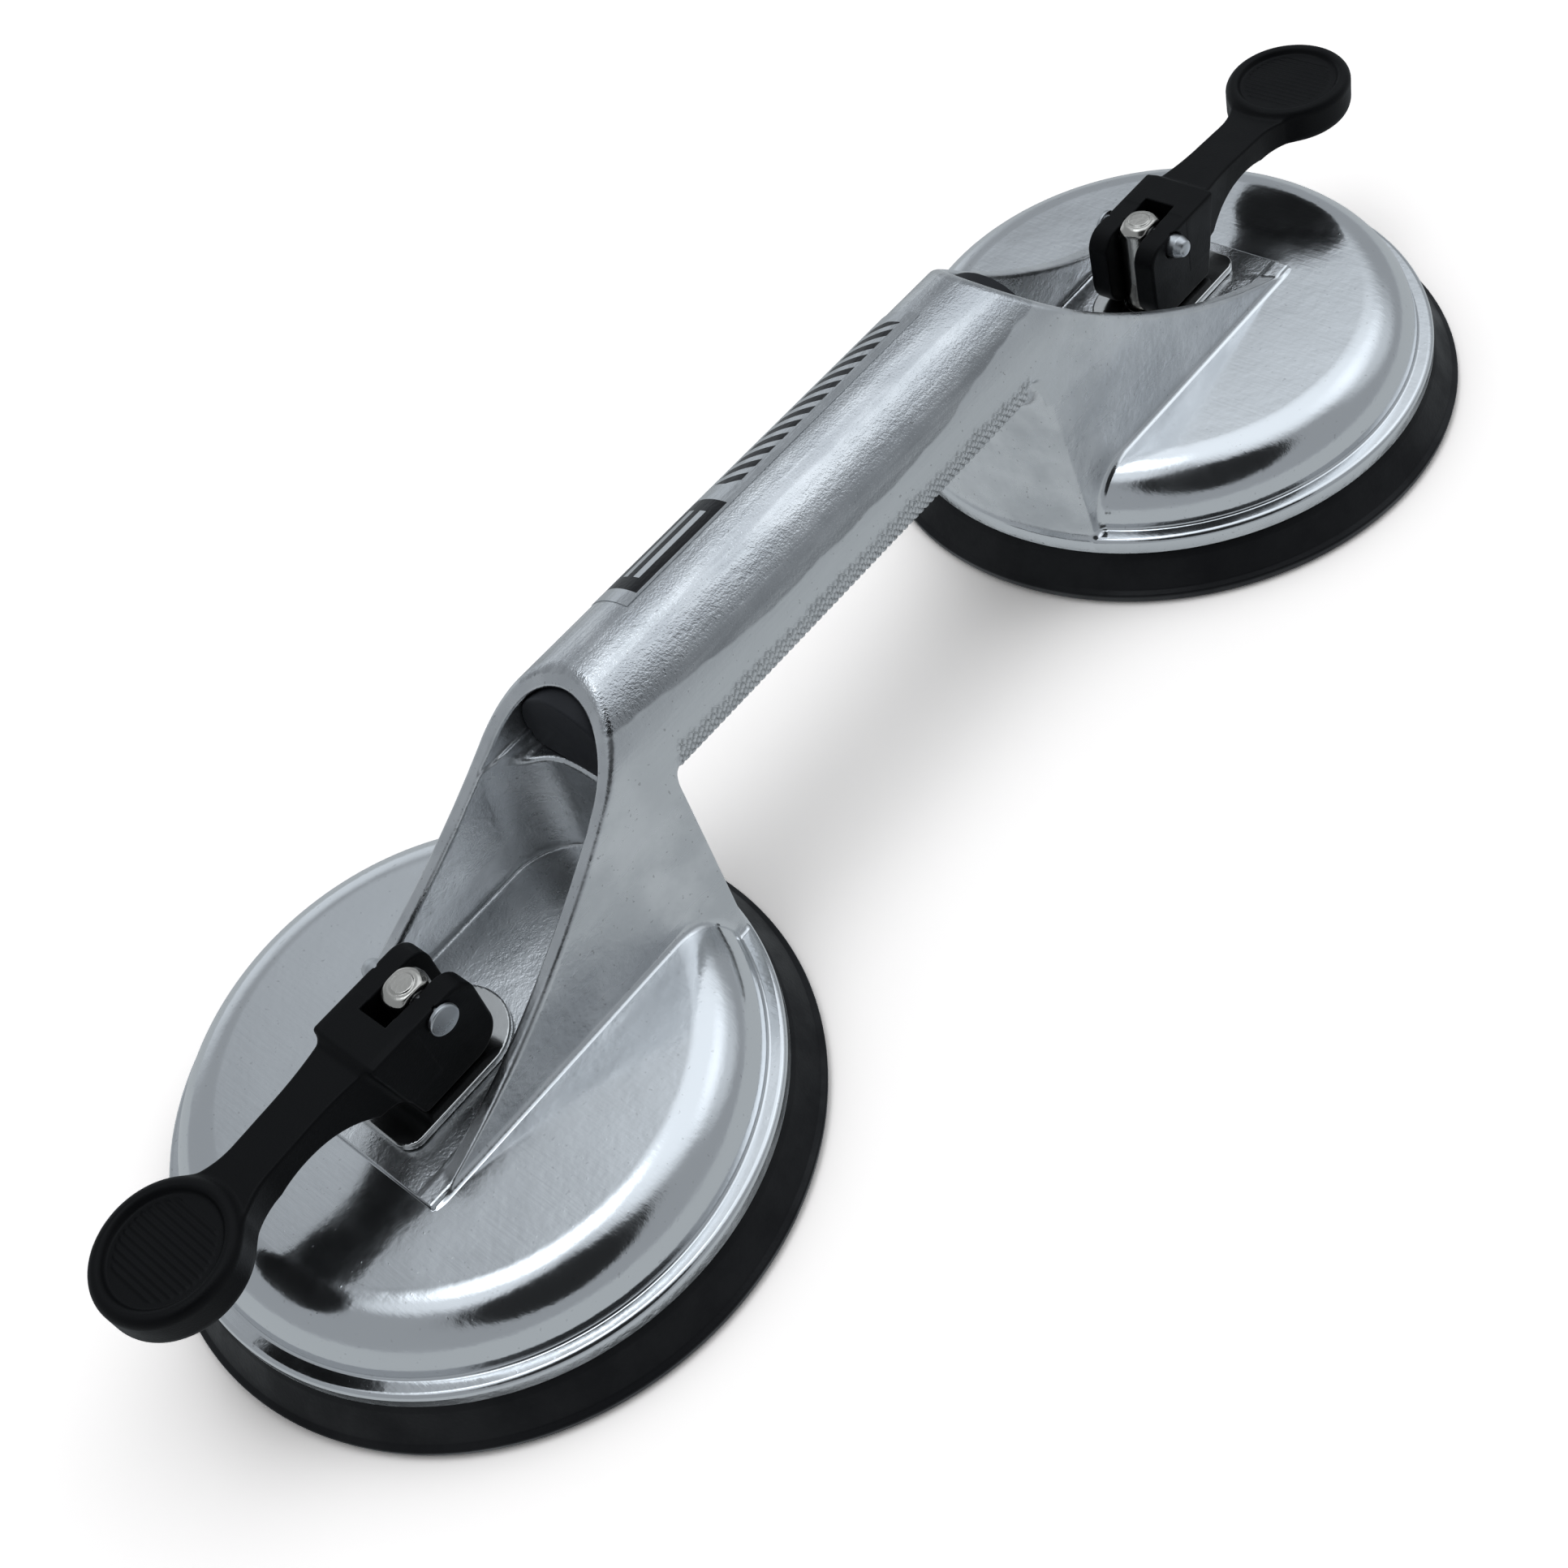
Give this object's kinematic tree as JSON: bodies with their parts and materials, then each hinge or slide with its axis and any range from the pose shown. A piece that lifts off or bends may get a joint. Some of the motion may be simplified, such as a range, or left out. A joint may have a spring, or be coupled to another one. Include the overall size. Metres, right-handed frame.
{
  "type": "double suction lifter",
  "caption": "Hand lifter with a hollow die-cast handle over bell housings; cam levers raise posts that pull rubber pads into suction.",
  "frame": {"origin": "midway between the cups, on the plane of the rubber sealing rings", "axes": "+X along the handle towards the right cup, +Z away from the sheet the cups hold"},
  "size_m": [0.3366, 0.12, 0.0689],
  "materials": {
    "cast_aluminium": "die cast, polished bells, tumbled handle",
    "label_film": "clear film over the metal",
    "black_rubber": "smooth moulded rubber with a soft sheen",
    "plate_steel": "stamped steel",
    "plated_post": "nickel plated",
    "zinc_pin": "bright zinc plated",
    "black_plastic": "fine matte moulded nylon",
    "washer_steel": "polished sheet steel"
  },
  "bodies": {
    "casting": {"body_casting": "cast_aluminium", "handle_label": "label_film", "left_handle_plug": "black_plastic", "right_handle_plug": "black_plastic", "left_wear_washer": "washer_steel", "right_wear_washer": "washer_steel", "left_rubber_pad": "black_rubber", "right_rubber_pad": "black_rubber"},
    "left_post": {"left_post": "plated_post", "left_backing_plate": "plate_steel", "left_pivot_pin": "zinc_pin"},
    "left_lever": {"left_lever": "black_plastic"},
    "right_post": {"right_post": "plated_post", "right_backing_plate": "plate_steel", "right_pivot_pin": "zinc_pin"},
    "right_lever": {"right_lever": "black_plastic"}
  },
  "joints": [
    {"name": "left_post_slide", "type": "slide", "parent": "casting", "child": "left_post", "axis": [0, 0, 1], "range_m": [-0.002, 0]},
    {"name": "left_lever_hinge", "type": "hinge", "parent": "left_post", "child": "left_lever", "pos_m": [-0.1028, 0, 0.0409], "axis": [0, 1, 0], "range_deg": [0, 100]},
    {"name": "right_post_slide", "type": "slide", "parent": "casting", "child": "right_post", "axis": [0, 0, 1], "range_m": [-0.002, 0]},
    {"name": "right_lever_hinge", "type": "hinge", "parent": "right_post", "child": "right_lever", "pos_m": [0.1028, 0, 0.0409], "axis": [0, -1, 0], "range_deg": [0, 100]}
  ],
  "couplings": [
    {"joint": "left_post_slide", "follows": "left_lever_hinge", "m_per_rad": -0.0011},
    {"joint": "right_post_slide", "follows": "right_lever_hinge", "m_per_rad": -0.0011}
  ]
}
